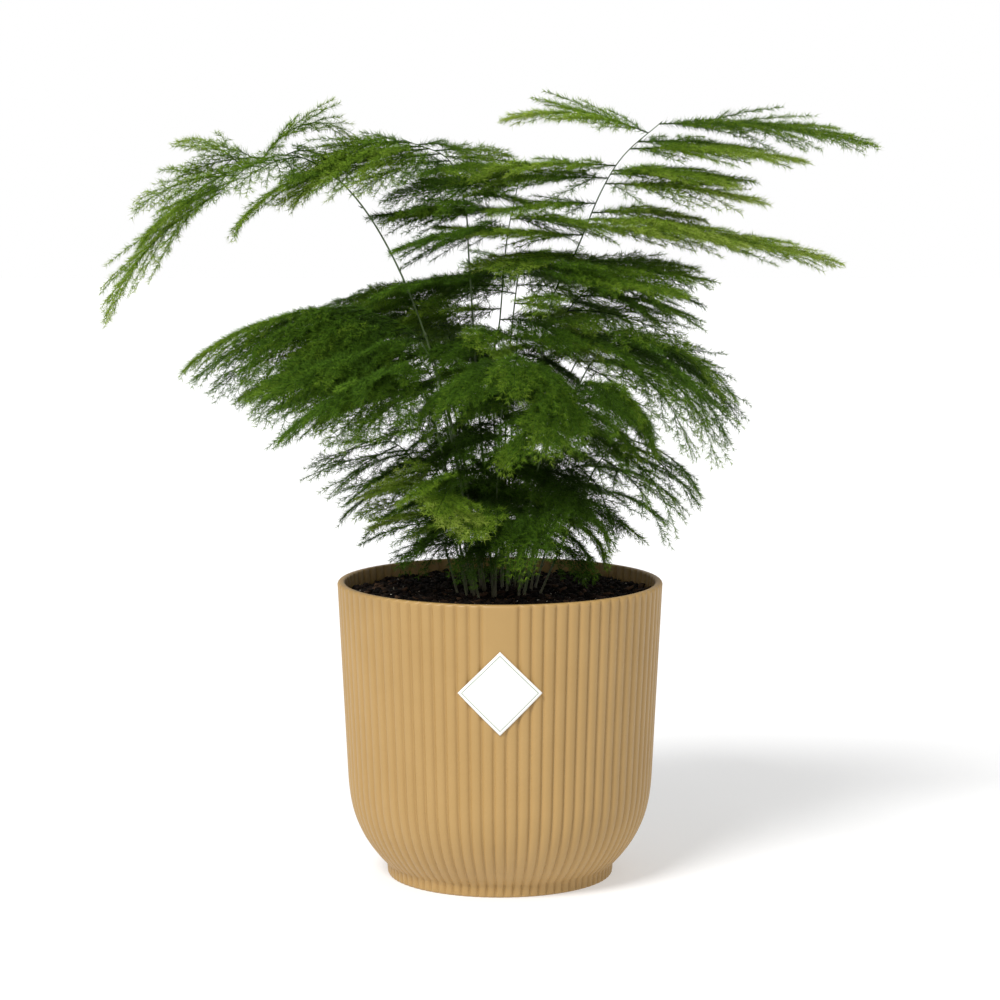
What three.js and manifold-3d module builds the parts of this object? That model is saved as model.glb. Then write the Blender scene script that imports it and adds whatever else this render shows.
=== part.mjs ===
import * as THREE from 'three';
import { mergeVertices } from 'three/addons/utils/BufferGeometryUtils.js';
import Module from 'manifold-3d';

// Potted asparagus fern. Millimetres, +Z up, the pot's label faces -Y.

// Pot
const potHeight = 128;
const rimDiameter = 140;
const rimThickness = 3.6;
const rimRounding = 1.6;
const footDiameter = 98;
const footHeight = 5;
const cornerHeight = 41;
const cornerCurve = 2.7;
const cornerRings = 5;
const wallLean = 0.05;
const wallThickness = 3;
const floorThickness = 4;
const floorRounding = 6;
const ribCount = 82;
const ribDepth = 0.9;
const panelRibs = 3;
const panelBottom = 75;
const panelRunOut = 10;

// Label
const labelSide = 25;
const labelThickness = 0.4;
const labelMiddle = 91;

// Growing mix and crown
const soilDrop = 6;
const crownRadius = 25;
const crownDepth = 17;
const rootRadius = 1.9;
const rootStart = 8;

// Plant
const plantHeight = 213;
const plantSpread = 330;
const stemRadius = 0.65;
const plumeShare = 0.085;
const plumeThickness = 1.8;
const plumeEnd = 0.1;
const goldenAngle = 137.5;

// A plume that meets another piece is made shorter step by step, and left out under the shortest share.
const plumeShortening = 0.85;
const plumeShortest = 0.35;

// Fits
const gap = 0.3;
const roundSides = 48;
const crownSides = 24;
const labelBandSides = 120;

const rimRadius = rimDiameter / 2;
const soilTop = potHeight - soilDrop;

const wasm = await Module();
wasm.setup();

// ---------- solids ----------

function toSolid(geometry) {
  geometry.deleteAttribute('normal');
  geometry.deleteAttribute('uv');
  const merged = mergeVertices(geometry, 1e-4);
  const index = merged.index.array;
  const kept = [];
  for (let i = 0; i < index.length; i += 3) {
    const [a, b, c] = [index[i], index[i + 1], index[i + 2]];
    if (a !== b && b !== c && c !== a) kept.push(a, b, c);
  }
  return new wasm.Manifold(new wasm.Mesh({
    numProp: 3,
    vertProperties: new Float32Array(merged.attributes.position.array),
    triVerts: new Uint32Array(kept),
  }));
}

function toGeometry(solid) {
  const mesh = solid.getMesh();
  const geometry = new THREE.BufferGeometry();
  geometry.setAttribute('position', new THREE.BufferAttribute(new Float32Array(mesh.vertProperties), 3));
  geometry.setIndex(new THREE.BufferAttribute(new Uint32Array(mesh.triVerts), 1));
  geometry.computeVertexNormals();
  return geometry;
}

// A turned shape; the profile is a list of [radius, height].
function turned(profile, sides) {
  const points = profile.map(([radius, height]) => new THREE.Vector2(radius, height));
  const geometry = new THREE.LatheGeometry(points, sides);
  geometry.rotateX(Math.PI / 2);
  return geometry;
}

// A bar with a many-sided section, bent to follow a path and tapered on the way.
// It stands square on the ground where standing is set.
function bentBar({ sides, places, pointAt, across, halfWidth, halfHeight, standing = false }) {
  const section = new THREE.Shape();
  for (let i = 0; i < sides; i++) {
    const turn = (2 * Math.PI * i) / sides;
    if (i === 0) section.moveTo(1, 0);
    else section.lineTo(Math.cos(turn), Math.sin(turn));
  }
  const steps = places.length - 1;
  const bar = new THREE.ExtrudeGeometry(section, { depth: 1, steps, bevelEnabled: false });
  const position = bar.attributes.position;
  const frames = places.map((at) => {
    const middle = pointAt(at);
    const ahead = pointAt(Math.min(1, at + 0.02)).sub(pointAt(Math.max(0, at - 0.02))).normalize();
    if (standing && at === 0) ahead.set(0, 0, 1);
    const side = across.clone().addScaledVector(ahead, -across.dot(ahead)).normalize();
    const up = ahead.clone().cross(side);
    return { middle, side, up, width: halfWidth(at), height: halfHeight(at) };
  });
  for (let i = 0; i < position.count; i++) {
    const frame = frames[Math.round(position.getZ(i) * steps)];
    const point = frame.middle.clone()
      .addScaledVector(frame.side, position.getX(i) * frame.width)
      .addScaledVector(frame.up, position.getY(i) * frame.height);
    position.setXYZ(i, point.x, point.y, point.z);
  }
  return toSolid(bar);
}

// ---------- pot ----------

function leaningWall(height) {
  return rimRadius - wallLean * (potHeight - rimRounding - height);
}

// The wall leans out evenly, and its lower corner pulls in to the foot on a power curve.
function sideRadius(height) {
  const share = THREE.MathUtils.clamp((height - footHeight) / cornerHeight, 0, 1);
  const pull = leaningWall(footHeight) - footDiameter / 2;
  return leaningWall(height) - pull * (1 - share) ** cornerCurve;
}

// Rings of the corner stand closer together near the foot, where it curves most.
function potRings() {
  const rings = [0, footHeight];
  for (let ring = 1; ring <= cornerRings; ring++) {
    rings.push(footHeight + cornerHeight * (ring / cornerRings) ** 1.6);
  }
  return [...rings, panelBottom - panelRunOut, panelBottom + 1, potHeight - rimRounding];
}

function potOutside() {
  const profile = potRings().map((height) => [sideRadius(height), height]);
  profile.push([rimRadius - rimRounding, potHeight]);
  const sides = 2 * ribCount;
  const body = turned([[0, 0], ...profile, [0, potHeight]], sides);
  const position = body.attributes.position;
  for (let i = 0; i < position.count; i++) {
    const [x, y, z] = [position.getX(i), position.getY(i), position.getZ(i)];
    const radius = Math.hypot(x, y);
    const sample = Math.round((Math.atan2(x, -y) / (2 * Math.PI)) * sides);
    const onPanel = Math.abs(sample) < panelRibs && z > panelBottom;
    const inGroove = Math.abs(sample) % 2 === 1 && !onPanel && z < 0.99 * potHeight;
    if (radius < 1 || !inGroove) continue;
    const share = (radius - ribDepth) / radius;
    position.setXY(i, x * share, y * share);
  }
  return toSolid(body);
}

function insideRadius(height) {
  return Math.min(sideRadius(height) - wallThickness, rimRadius - rimThickness);
}

const wallLevels = [0.09, 0.14, 0.22, 0.42, 0.8].map((share) => share * potHeight);

function potCavity() {
  const wall = wallLevels.map((height) => [insideRadius(height) - ribDepth, height]);
  const floorRadius = insideRadius(wallLevels[0]) - ribDepth - floorRounding;
  const top = rimRadius - rimThickness;
  return toSolid(turned(
    [[0, floorThickness], [floorRadius, floorThickness], ...wall, [top, potHeight + 1], [0, potHeight + 1]],
    roundSides,
  ));
}

function makePot() {
  return potOutside().subtract(potCavity());
}

// ---------- label ----------

function makeLabel() {
  const reach = labelSide / Math.SQRT2;
  const low = labelMiddle - reach - 1;
  const high = labelMiddle + reach + 1;
  const inner = (height) => sideRadius(height) + gap;
  const outer = (height) => inner(height) + labelThickness;
  const band = toSolid(turned(
    [[inner(low), low], [outer(low), low], [outer(high), high], [inner(high), high], [inner(low), low]],
    labelBandSides,
  ));
  const diamond = new THREE.Shape();
  diamond.moveTo(reach, 0);
  diamond.lineTo(0, reach);
  diamond.lineTo(-reach, 0);
  diamond.lineTo(0, -reach);
  const cutter = new THREE.ExtrudeGeometry(diamond, { depth: rimRadius, bevelEnabled: false });
  cutter.rotateX(Math.PI / 2);
  cutter.translate(0, -rimRadius / 3, labelMiddle);
  return band.intersect(toSolid(cutter));
}

// ---------- crown and growing mix ----------

// Fleshy roots: heading in degrees, reach and drop in millimetres.
const roots = [[10, 26, 44], [70, 22, 56], [130, 27, 40], [190, 23, 60], [250, 26, 46], [310, 21, 58]];

function makeCrown(extra) {
  const shape = [[0, -1], [0.5, -0.82], [0.86, -0.42], [1, 0]];
  const profile = shape.map(([radius, level]) => [
    radius === 0 ? 0 : radius * crownRadius + extra,
    soilTop + level * crownDepth - (level < 0 ? extra : 0),
  ]);
  const lid = extra > 0 ? soilTop + 2 : soilTop;
  if (extra > 0) profile.push([crownRadius + extra, lid]);
  let crown = toSolid(turned([...profile, [0, lid]], crownSides));
  for (const [heading, reach, drop] of roots) {
    const turn = THREE.MathUtils.degToRad(heading);
    const out = new THREE.Vector3(Math.cos(turn), Math.sin(turn), 0);
    const start = soilTop - 0.4 * crownDepth;
    const longer = extra > 0 ? 1.02 : 1;
    const pointAt = (at) => out.clone().multiplyScalar(rootStart + reach * Math.sin(at * longer * 1.4))
      .add(new THREE.Vector3(0, 0, start - drop * longer * at * (0.25 + 0.75 * longer * at)));
    crown = crown.add(bentBar({
      sides: 5,
      places: [0, 0.35, 0.7, 1],
      pointAt,
      across: new THREE.Vector3(-out.y, out.x, 0),
      halfWidth: (at) => rootRadius * (1 - 0.6 * at) + extra,
      halfHeight: (at) => rootRadius * (1 - 0.6 * at) + extra,
    }));
  }
  return crown;
}

function makeSoil() {
  const wall = wallLevels.map((height) => [insideRadius(height) - ribDepth - gap, height]);
  const low = floorThickness + gap;
  const floorRadius = insideRadius(wallLevels[0]) - ribDepth - floorRounding - gap;
  const rise = (soilTop - wallLevels[4]) / (potHeight + 1 - wallLevels[4]);
  const wallEnd = insideRadius(wallLevels[4]) - ribDepth;
  const topRadius = wallEnd + (rimRadius - rimThickness - wallEnd) * rise - gap;
  const body = toSolid(turned(
    [[0, low], [floorRadius - 1, low], ...wall, [topRadius, soilTop], [0, soilTop]],
    roundSides,
  ));
  return body.subtract(makeCrown(gap));
}

// ---------- fronds ----------

// Side plumes given as [place along the leafy part, heading, length, rise, droop]; angles in degrees.
// A fan spreads its plumes either side of one heading and ends in one that carries on outward.
function fan(heading, spread, count, longest, rise, droop) {
  const plumes = [];
  for (let i = 0; i < count; i++) {
    const at = i / (count - 1);
    const side = i === count - 1 ? 0 : (i % 2 === 0 ? -1 : 1);
    const swell = 0.62 + 0.38 * Math.sin(Math.PI * Math.min(1, 0.2 + 0.75 * at));
    const length = longest * swell * (1 + 0.08 * Math.sin(2.4 * i + heading));
    const turn = heading + side * spread * (1 - 0.55 * at) + 6 * Math.sin(1.7 * i + heading);
    plumes.push([at, turn, length, rise + 5 * Math.sin(2.9 * i + heading), droop]);
  }
  return plumes;
}

// A whorl turns by the golden angle from one plume to the next, up the whole stem.
function whorl(first, count, longest, rise, droop) {
  const plumes = [];
  for (let i = 0; i < count; i++) {
    const at = i / (count - 1);
    const length = longest * (0.7 + 0.3 * Math.sin(Math.PI * Math.min(1, 0.15 + 0.75 * at)));
    plumes.push([at, first + goldenAngle * i, length, rise + 5 * Math.sin(2.9 * i + first), droop]);
  }
  return plumes;
}

const fronds = [
  { name: 'left_arch', foot: [-6, 5], leafy: 0.58,
    bends: [[-19, 0, 189], [-34, -3, 240], [-50, -7, 276], [-67, -12, 299], [-86, -16, 310],
      [-104, -18, 306], [-118, -20, 294]],
    plumes: [[0, 206, 52, -4, 60], [0.1, 24, 26, 8, 20], [0.24, 238, 48, 0, 34], [0.36, 40, 24, 20, 70],
      [0.5, 172, 40, 2, 34], [0.56, 20, 46, 58, 104], [0.66, 215, 42, -12, 42], [0.72, 150, 36, 40, 50],
      [0.8, 178, 46, 0, 44], [0.88, 205, 50, -18, 36], [0.95, 170, 44, -14, 46], [1, 194, 72, -30, 40]] },
  { name: 'left_crest', foot: [-3, 9], leafy: 0.78,
    bends: [[-9, 6, 200], [-13, 3, 262], [-15, 2, 290], [-22, 4, 308], [-40, 4, 316]],
    plumes: [[0, 216, 48, 0, 34], [0.14, 350, 34, 0, 12], [0.26, 202, 76, -4, 28], [0.4, 12, 32, 6, 22],
      [0.52, 172, 56, -4, 22], [0.66, 206, 66, 0, 52], [0.76, 20, 26, 10, 60], [0.88, 196, 58, 4, 50],
      [1, 184, 44, 0, 52]] },
  { name: 'tall_right', foot: [8, 8], leafy: 0.38,
    bends: [[14, 8, 185], [21, 8, 243], [33, 8, 270], [43, 8, 294], [53, 8, 310], [69, 8, 324]],
    plumes: [[0, 330, 60, 0, 14], [0.05, 356, 62, 1, 14], [0.08, 14, 56, 2, 12], [0.12, 192, 46, 0, 14],
      [0.22, 184, 62, 2, -4], [0.26, 357, 108, -2, 14], [0.3, 338, 70, -1, 18], [0.33, 14, 50, 2, 14],
      [0.38, 206, 50, 2, 14], [0.5, 349, 68, 0, 15], [0.54, 176, 80, 2, 8], [0.57, 10, 62, 2, 12],
      [0.6, 330, 58, 2, 18], [0.64, 196, 62, 4, 16], [0.78, 352, 74, 2, 14], [0.84, 22, 48, 2, 12],
      [0.92, 182, 62, 22, 40], [1, 1, 92, 2, 18]] },
  { name: 'centre_spire', foot: [1, 12], leafy: 0.34,
    bends: [[-3, 11, 213], [0, 10, 240], [3, 10, 274], [9, 11, 303]],
    plumes: [[0, 206, 52, 0, 26], [0.06, 340, 48, 0, 22], [0.12, 262, 36, 0, 24], [0.2, 24, 42, 0, 20],
      [0.26, 188, 48, 0, 20], [0.38, 164, 64, 0, 16], [0.43, 200, 60, 0, 20], [0.48, 350, 60, 0, 16],
      [0.53, 24, 48, 0, 16], [0.67, 214, 58, 2, 22], [0.73, 335, 50, 2, 14], [0.78, 176, 60, 2, 10],
      [0.93, 202, 60, 4, 22], [1, 150, 48, 12, 28]] },
  { name: 'left_wing', foot: [-10, 3], leafy: 0.66,
    bends: [[-20, -3, 190], [-34, -10, 232], [-60, -17, 247]],
    plumes: [[0, 232, 54, -8, 34], [0.1, 140, 46, 0, 24], [0.22, 210, 66, -8, 32], [0.34, 158, 56, 2, 30],
      [0.46, 222, 56, -10, 30], [0.56, 196, 80, -8, 30], [0.68, 166, 60, 2, 34], [0.78, 208, 66, -10, 34],
      [0.9, 190, 78, -6, 36], [1, 178, 80, -2, 42]] },
  { name: 'left_wing_low', foot: [-14, -3], leafy: 0.62,
    bends: [[-22, -14, 174], [-34, -26, 216], [-52, -34, 229]],
    plumes: fan(196, 46, 9, 78, -3, 26) },
  { name: 'wedge_middle', foot: [-11, -8], leafy: 0.6,
    bends: [[-17, -10, 172], [-28, -14, 215], [-46, -13, 238]],
    plumes: fan(190, 50, 9, 66, -3, 28) },
  { name: 'front_fall', foot: [-2, -9], leafy: 0.6,
    bends: [[-1, -18, 176], [2, -34, 214], [8, -46, 228]],
    plumes: fan(266, 84, 9, 42, 6, 80) },
  { name: 'front_right_fall', foot: [8, -7], leafy: 0.6,
    bends: [[14, -18, 170], [24, -34, 204], [35, -46, 218]],
    plumes: fan(302, 76, 9, 42, 4, 80) },
  { name: 'right_wing', foot: [13, 4], leafy: 0.64,
    bends: [[24, 3, 182], [38, 2, 220], [55, 0, 233]],
    plumes: fan(351, 46, 9, 76, -5, 62) },
  { name: 'right_low', foot: [17, -3], leafy: 0.56,
    bends: [[29, -7, 150], [42, -10, 180], [56, -12, 190]],
    plumes: fan(344, 50, 8, 54, -10, 56) },
  { name: 'left_low', foot: [-18, -5], leafy: 0.58,
    bends: [[-26, -12, 152], [-37, -19, 182], [-49, -24, 193]],
    plumes: fan(197, 30, 6, 44, -13, 20) },
  { name: 'left_skirt', foot: [-14, -12], leafy: 0.5,
    bends: [[-19, -20, 146], [-28, -28, 166]],
    plumes: fan(204, 38, 5, 34, -6, 30) },
  { name: 'bright_shelf', foot: [-9, -14], leafy: 0.54,
    bends: [[-15, -22, 152], [-26, -32, 180]],
    plumes: fan(212, 74, 9, 42, 0, 24) },
  { name: 'right_skirt', foot: [10, -14], leafy: 0.52,
    bends: [[16, -20, 148], [24, -30, 172]],
    plumes: fan(310, 68, 8, 34, 0, 80) },
  { name: 'back_left', foot: [-8, 15], leafy: 0.6,
    bends: [[-18, 32, 190], [-31, 52, 228], [-45, 70, 236]],
    plumes: fan(126, 62, 9, 56, 2, 44) },
  { name: 'back_rise', foot: [1, 18], leafy: 0.6,
    bends: [[3, 34, 205], [7, 54, 248], [10, 78, 262]],
    plumes: fan(86, 70, 9, 54, 4, 40) },
  { name: 'back_right', foot: [9, 15], leafy: 0.6,
    bends: [[21, 30, 185], [36, 50, 222], [52, 66, 230]],
    plumes: fan(50, 60, 9, 56, 2, 46) },
  { name: 'back_low', foot: [4, 22], leafy: 0.5,
    bends: [[3, 38, 152], [2, 54, 180]],
    plumes: fan(92, 70, 8, 44, 0, 52) },
  { name: 'back_left_low', foot: [-12, 11], leafy: 0.5,
    bends: [[-22, 22, 155], [-34, 36, 190]],
    plumes: fan(140, 62, 8, 46, 0, 46) },
  { name: 'back_right_low', foot: [15, 12], leafy: 0.5,
    bends: [[25, 22, 154], [38, 34, 188]],
    plumes: fan(40, 62, 8, 46, 0, 50) },
  { name: 'inner_left', foot: [-7, 10], leafy: 0.6,
    bends: [[-14, 15, 195], [-24, 22, 236], [-40, 30, 250]],
    plumes: fan(150, 62, 9, 54, 2, 30) },
  { name: 'inner_right', foot: [6, 13], leafy: 0.58,
    bends: [[16, 17, 198], [28, 21, 240], [46, 24, 258]],
    plumes: fan(16, 64, 9, 60, 2, 36) },
  { name: 'core_front', foot: [-3, -6], leafy: 0.36,
    bends: [[-5, -12, 156], [-9, -18, 206]],
    plumes: whorl(250, 10, 36, 0, 50) },
  { name: 'core_right', foot: [10, -2], leafy: 0.34,
    bends: [[17, -6, 156], [26, -10, 206]],
    plumes: whorl(320, 10, 38, 0, 56) },
  { name: 'core_left', foot: [-12, 2], leafy: 0.36,
    bends: [[-17, 2, 156], [-25, 1, 210]],
    plumes: whorl(200, 10, 36, -4, 34) },
  { name: 'core_back', foot: [1, 8], leafy: 0.34,
    bends: [[1, 14, 160], [0, 22, 212]],
    plumes: whorl(90, 10, 42, 0, 42) },
  { name: 'core_middle', foot: [3, 2], leafy: 0.38,
    bends: [[4, 1, 172], [8, -3, 242]],
    plumes: whorl(20, 11, 42, 2, 40) },
];

const spreadShare = plantSpread / 330;
const heightShare = plantHeight / 213;
const usualSoilTop = 122;

function placed([x, y, z]) {
  return new THREE.Vector3(x * spreadShare, y * spreadShare, soilTop + (z - usualSoilTop) * heightShare);
}

function stemCurve(frond) {
  const [x, y] = frond.foot;
  const points = [placed([x, y, usualSoilTop]), ...frond.bends.map(placed)];
  points[0].set(x, y, soilTop + gap);
  return new THREE.CatmullRomCurve3(points, false, 'catmullrom', 0.5);
}

function stemRadiusAt(at) {
  return stemRadius * (1 - 0.62 * at);
}

// A plume runs out level or rising and droops more towards its tip.
function plumePoints([, heading, length, rise, droop], start, reach) {
  const turn = THREE.MathUtils.degToRad(heading);
  const steps = 24;
  const points = [start.clone()];
  for (let k = 0; k < steps; k++) {
    const share = (k + 0.5) / steps;
    const slope = THREE.MathUtils.degToRad(rise - droop * share ** 1.3);
    const stride = (length / steps) * reach * spreadShare;
    points.push(points[k].clone().add(new THREE.Vector3(
      stride * Math.cos(slope) * Math.cos(turn),
      stride * Math.cos(slope) * Math.sin(turn),
      stride * Math.sin(slope),
    )));
  }
  return points;
}

function alongPoints(points, at) {
  const place = at * (points.length - 1);
  const before = Math.min(Math.floor(place), points.length - 2);
  return points[before].clone().lerp(points[before + 1], place - before);
}

function makePlume(plume, start, reach, extra) {
  const points = plumePoints(plume, start, reach);
  const turn = THREE.MathUtils.degToRad(plume[1]);
  const widest = plumeShare * plume[2] * reach * spreadShare;
  return bentBar({
    sides: 4,
    places: [0, 0.42, 1],
    pointAt: (at) => alongPoints(points, at),
    across: new THREE.Vector3(-Math.sin(turn), Math.cos(turn), 0),
    halfWidth: (at) => (at > 0 && at < 1 ? widest : plumeEnd) + extra,
    halfHeight: (at) => (at > 0 && at < 1 ? plumeThickness / 2 : plumeEnd) + extra,
  });
}

function boxesMeet(a, b) {
  return [0, 1, 2].every((k) => a.min[k] < b.max[k] && b.min[k] < a.max[k]);
}

function meets(solid, box, others) {
  return others.some((other) => boxesMeet(box, other.box) && solid.intersect(other.solid).volume() > 0);
}

function growFronds(planter) {
  const bars = [];
  for (const frond of fronds) {
    const curve = stemCurve(frond);
    const [x, y] = frond.foot;
    const tip = frond.bends[frond.bends.length - 1];
    const lean = new THREE.Vector3(tip[0] - x, tip[1] - y, 0).normalize();
    const across = new THREE.Vector3(-lean.y, lean.x, 0);
    const leafEnd = frond.leafy + gap / curve.getLength();
    const steps = Math.round(frond.plumes.length / 2);
    const knots = Array.from({ length: steps + 1 }, (_, i) => leafEnd + ((1 - leafEnd) * i) / steps);
    const joints = knots.map((at) => curve.getPoint(at));
    const starts = frond.plumes.map(([at]) => alongPoints(joints, 0.05 + 0.93 * at));
    const bar = (sides, places) => bentBar({
      sides,
      places,
      across,
      pointAt: (at) => curve.getPoint(at),
      halfWidth: stemRadiusAt,
      halfHeight: stemRadiusAt,
      standing: true,
    });
    const stemPlaces = [0, 0.33, 0.67, 1].map((share) => share * frond.leafy);
    const stem = bar(5, stemPlaces);
    const rachis = bar(4, knots);
    bars.push({ frond, starts, stem, rachis, plumes: [] });
  }
  const filled = planter.map((solid) => ({ owner: -1, own: true, solid, box: solid.boundingBox() }));
  bars.forEach((item, owner) => {
    filled.push({ owner, own: true, solid: item.stem, box: item.stem.boundingBox() });
    filled.push({ owner, own: false, solid: item.rachis, box: item.rachis.boundingBox() });
  });
  bars.forEach((item, owner) => {
    item.frond.plumes.forEach((plume, k) => {
      const start = item.starts[k];
      const others = filled.filter((other) => other.owner !== owner || other.own);
      for (let reach = 1; reach > plumeShortest; reach *= plumeShortening) {
        const guard = makePlume(plume, start, reach * 1.01, gap);
        if (meets(guard, guard.boundingBox(), others)) continue;
        const solid = makePlume(plume, start, reach, 0);
        item.plumes.push(solid);
        filled.push({ owner, own: false, solid, box: solid.boundingBox() });
        break;
      }
    });
  });
  return bars;
}

// ---------- the whole plant ----------

const materials = {
  pot: new THREE.MeshStandardMaterial({ color: '#cdae78', roughness: 0.5, metalness: 0 }),
  label: new THREE.MeshStandardMaterial({ color: '#f4f4f0', roughness: 0.7, metalness: 0 }),
  soil: new THREE.MeshStandardMaterial({ color: '#2a211c', roughness: 0.95, metalness: 0 }),
  crown: new THREE.MeshStandardMaterial({ color: '#8a6a44', roughness: 0.85, metalness: 0 }),
  stem: new THREE.MeshStandardMaterial({ color: '#8d9a72', roughness: 0.6, metalness: 0 }),
  foliage: new THREE.MeshStandardMaterial({ color: '#4d8426', roughness: 0.6, metalness: 0 }),
};

const group = new THREE.Group();
group.name = 'potted_asparagus_fern';

function addPart(name, solid, material) {
  const mesh = new THREE.Mesh(toGeometry(solid), material.clone());
  mesh.name = name;
  group.add(mesh);
}

const pot = makePot();
const soil = makeSoil();
addPart('pot', pot, materials.pot);
addPart('label', makeLabel(), materials.label);
addPart('soil', soil, materials.soil);
addPart('root_crown', makeCrown(0), materials.crown);
for (const { frond, stem, rachis, plumes } of growFronds([pot, soil])) {
  addPart(`stem_${frond.name}`, stem, materials.stem);
  const leafy = plumes.reduce((whole, plume) => whole.add(plume), rachis);
  addPart(`frond_${frond.name}`, leafy, materials.foliage);
}

export default group;
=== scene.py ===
import math

import bpy
import numpy as np
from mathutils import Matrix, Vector


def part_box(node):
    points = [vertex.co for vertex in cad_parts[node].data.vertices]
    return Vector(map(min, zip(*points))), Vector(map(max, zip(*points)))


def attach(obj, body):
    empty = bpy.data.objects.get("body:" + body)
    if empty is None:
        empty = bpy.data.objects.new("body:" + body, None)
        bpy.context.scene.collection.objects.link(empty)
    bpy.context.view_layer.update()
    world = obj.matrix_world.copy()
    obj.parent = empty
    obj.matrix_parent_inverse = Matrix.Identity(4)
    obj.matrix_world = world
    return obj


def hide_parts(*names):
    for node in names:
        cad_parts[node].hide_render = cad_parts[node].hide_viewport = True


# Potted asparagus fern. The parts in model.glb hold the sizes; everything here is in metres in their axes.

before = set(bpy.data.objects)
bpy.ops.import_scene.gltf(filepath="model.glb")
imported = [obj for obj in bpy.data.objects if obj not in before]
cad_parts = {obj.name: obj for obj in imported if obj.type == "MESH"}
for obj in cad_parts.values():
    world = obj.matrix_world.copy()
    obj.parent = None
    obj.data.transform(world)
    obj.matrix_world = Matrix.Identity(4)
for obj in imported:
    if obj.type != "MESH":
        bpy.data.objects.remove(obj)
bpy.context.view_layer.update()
scene = bpy.context.scene
mm = 0.001


# colours, nodes and meshes

def linear(hexColour):
    shares = [int(hexColour[i:i + 2], 16) / 255 for i in (1, 3, 5)]
    bent = [c / 12.92 if c <= 0.04045 else ((c + 0.055) / 1.055) ** 2.4 for c in shares]
    return (*bent, 1.0)


def node(tree, kind, settings=None, links=None):
    # settings are the node's own choices; links fill sockets with numbers or with (node, output)
    made = tree.nodes.new(kind)
    for key, value in (settings or {}).items():
        setattr(made, key, value)
    for key, value in (links or {}).items():
        if isinstance(value, tuple) and hasattr(value[0], "outputs"):
            tree.links.new(value[0].outputs[value[1]], made.inputs[key])
        else:
            made.inputs[key].default_value = value
    return made


def principled(name, **sockets):
    # a new material with one Principled shader; keyword names use _ for a space
    made = bpy.data.materials.new(name)
    made.use_nodes = True
    tree = made.node_tree
    shader = tree.nodes["Principled BSDF"]
    for key, value in sockets.items():
        shader.inputs[key.replace("_", " ")].default_value = value
    return made, tree, shader


def ramp(tree, factor, stops):
    made = node(tree, "ShaderNodeValToRGB", links={"Fac": factor})
    band = made.color_ramp
    while len(band.elements) < len(stops):
        band.elements.new(0.5)
    for element, (place, hexColour) in zip(band.elements, stops):
        element.position = place
        element.color = linear(hexColour)
    return made


def bump(tree, shader, height, depth):
    # depth is the real height of the relief in metres
    made = node(tree, "ShaderNodeBump", links={"Height": height, "Distance": depth, "Strength": 1.0})
    tree.links.new(made.outputs["Normal"], shader.inputs["Normal"])


def meshPiece(name, points, faces, material, uv=None):
    # faces is a list of index arrays, each with its own corner count; uv is one (u, v) for each point
    mesh = bpy.data.meshes.new(name)
    corners = np.concatenate([f.reshape(-1) for f in faces]).astype(np.int32)
    counts = np.concatenate([np.full(len(f), f.shape[1], np.int32) for f in faces])
    mesh.vertices.add(len(points))
    mesh.vertices.foreach_set("co", np.asarray(points, np.float32).reshape(-1))
    mesh.loops.add(len(corners))
    mesh.loops.foreach_set("vertex_index", corners)
    mesh.polygons.add(len(counts))
    mesh.polygons.foreach_set("loop_start", np.concatenate([[0], np.cumsum(counts)[:-1]]).astype(np.int32))
    mesh.polygons.foreach_set("use_smooth", np.ones(len(counts), bool))
    mesh.update(calc_edges=True)
    if uv is not None:
        layer = mesh.uv_layers.new(name="OFBake")
        layer.data.foreach_set("uv", np.asarray(uv, np.float32)[corners].reshape(-1))
    mesh.materials.append(material)
    made = bpy.data.objects.new(name, mesh)
    scene.collection.objects.link(made)
    return made


def curvePoints(knots, shares):
    # a smooth curve through the knots (Catmull-Rom), read at shares from 0 to 1
    knots = np.asarray(knots, float)
    last = len(knots) - 1
    padded = np.vstack([2 * knots[0] - knots[1], knots, 2 * knots[-1] - knots[-2]])
    place = np.clip(np.asarray(shares, float), 0, 1) * last
    i = np.minimum(place.astype(int), last - 1)
    w = (place - i)[:, None]
    a, b, c, d = padded[i], padded[i + 1], padded[i + 2], padded[i + 3]
    square, cube = 2 * a - 5 * b + 4 * c - d, 3 * b - a - 3 * c + d
    return 0.5 * (2 * b + (c - a) * w + square * w ** 2 + cube * w ** 3)


def unit(v):
    return v / np.maximum(np.linalg.norm(v, axis=-1, keepdims=True), 1e-12)


def tube(path, radii, sides, across):
    # a closed round bar along the path; across is any direction that the path doesn't run in
    ahead = unit(np.gradient(path, axis=0))
    side = unit(across - (ahead @ across)[:, None] * ahead)
    up = np.cross(ahead, side)
    turn = np.arange(sides) * 2 * np.pi / sides
    ring = side[:, None] * np.cos(turn)[None, :, None] + up[:, None] * np.sin(turn)[None, :, None]
    points = (path[:, None] + ring * np.asarray(radii)[:, None, None]).reshape(-1, 3)
    rows = len(path)
    k = np.arange(sides)
    low = (np.arange(rows - 1)[:, None] * sides + k).reshape(-1)
    lowNext = (np.arange(rows - 1)[:, None] * sides + (k + 1) % sides).reshape(-1)
    walls = np.stack([low, lowNext, lowNext + sides, low + sides], 1)
    points = np.vstack([points, path[0], path[-1]])
    first, final = rows * sides, rows * sides + 1
    top = (rows - 1) * sides
    caps = np.vstack([
        np.stack([(k + 1) % sides, k, np.full(sides, first)], 1),
        np.stack([top + k, top + (k + 1) % sides, np.full(sides, final)], 1),
    ])
    return points, walls, caps


# camera, light and floor

view = {"place": (0, -1.37, 0.336), "tiltDown": 7.21, "lens": 115.8}
light = {"sun": 2.8, "sunFrom": (-0.46, -0.72, 0.98), "softness": 20, "sky": 0.5, "backdrop": 1.0,
         "floor": "#cccccc", "floorGlow": 0.42, "floorSize": 9.0}

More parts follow.
